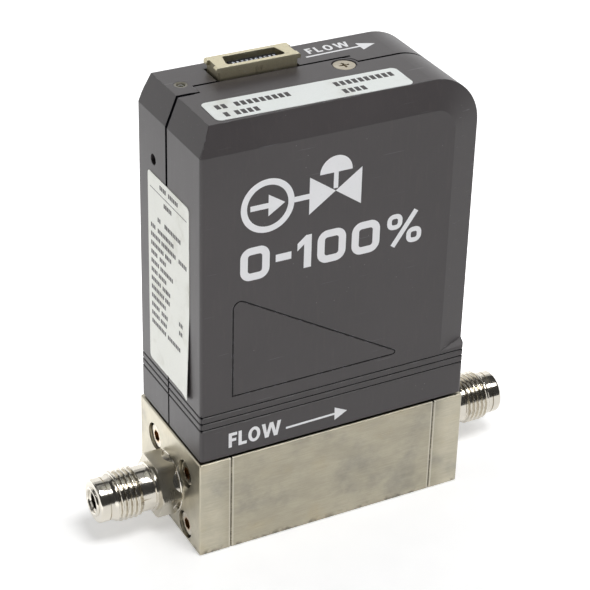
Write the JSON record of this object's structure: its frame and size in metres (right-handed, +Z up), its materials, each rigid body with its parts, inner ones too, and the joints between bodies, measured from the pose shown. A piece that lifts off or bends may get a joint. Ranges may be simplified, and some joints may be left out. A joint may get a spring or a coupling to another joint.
{
  "type": "mass flow controller",
  "caption": "Digital mass flow controller: steel gas base with two face-seal fittings, dark moulded cover over its sensor, valve and board, and a signal connector on top.",
  "frame": {"origin": "centre of the base's underside", "axes": "+X the way the gas flows, from the inlet fitting to the outlet fitting, -Y the front, +Z up"},
  "size_m": [0.126, 0.038, 0.1288],
  "materials": {
    "base_steel": "ground stainless steel with a fine even grain",
    "fitting_steel": "turned and electropolished stainless steel",
    "screw_steel": "stainless steel screw, slightly heat tinted",
    "seal_metal": "soft nickel sealing ring",
    "filter_metal": "sintered stainless steel",
    "bright_steel": "plain machined stainless steel",
    "winding": "fine enamelled resistance wire",
    "sensor_aluminium": "clear anodised aluminium",
    "tinned_brass": "plated brass",
    "piezo_ceramic": "stacked ceramic in resin",
    "board_green": "glass-fibre circuit board with solder mask",
    "chip_black": "moulded epoxy",
    "capacitor_can": "drawn aluminium can",
    "white_nylon": "natural nylon",
    "lead_red": "insulated wire",
    "switch_black": "moulded plastic",
    "lamp_red": "tinted clear epoxy",
    "connector_plate": "olive-gold passivated die casting",
    "contact_plate": "gold-plated contact",
    "connector_black": "moulded black insulator",
    "frame_plastic": "moulded black plastic",
    "housing": "satin moulded plastic, warm dark grey",
    "label_white": "printed film label"
  },
  "bodies": {
    "controller": {"centre_block": "base_steel", "inlet_block": "base_steel", "outlet_block": "base_steel", "inlet_seal": "seal_metal", "outlet_seal": "seal_metal", "inlet_block_screws": "screw_steel", "outlet_block_screws": "screw_steel", "inlet_fitting": "fitting_steel", "outlet_fitting": "fitting_steel", "inlet_filter": "filter_metal", "laminar_flow_element": "bright_steel", "sensor_base": "bright_steel", "sensor_seals": "seal_metal", "sensor_tube": "bright_steel", "sensor_windings": "winding", "sensor_case": "sensor_aluminium", "sensor_cover": "sensor_aluminium", "sensor_terminals": "tinned_brass", "sensor_screws": "bright_steel", "valve_seat": "bright_steel", "valve_diaphragm": "bright_steel", "valve_flange": "bright_steel", "valve_screws": "bright_steel", "valve_plunger": "bright_steel", "actuator_tube": "bright_steel", "piezo_stack": "piezo_ceramic", "actuator_cap": "bright_steel", "preload_screw": "bright_steel", "valve_leads": "lead_red", "valve_socket": "white_nylon", "control_board": "board_green", "board_bracket": "bright_steel", "bracket_screws": "bright_steel", "board_spacers": "white_nylon", "board_screws": "bright_steel", "processor_chip": "chip_black", "amplifier_chips": "chip_black", "driver_coil": "chip_black", "capacitors": "capacitor_can", "zero_switch": "switch_black", "lamp_holder": "white_nylon", "status_lamp": "lamp_red", "connector_shell": "connector_plate", "connector_insert": "connector_black", "connector_contacts": "contact_plate", "cover_frame": "frame_plastic", "frame_screws": "bright_steel", "housing_front": "housing", "housing_rear": "housing", "cover_insert": "tinned_brass", "cover_screw": "bright_steel", "top_label": "label_white", "side_label": "label_white"},
    "button": {"zero_button": "switch_black"}
  },
  "joints": [
    {"name": "zero_button_press", "type": "slide", "parent": "controller", "child": "button", "axis": [1, 0, 0], "range_m": [0, 0.00025], "stiffness_N_per_m": 6400}
  ]
}
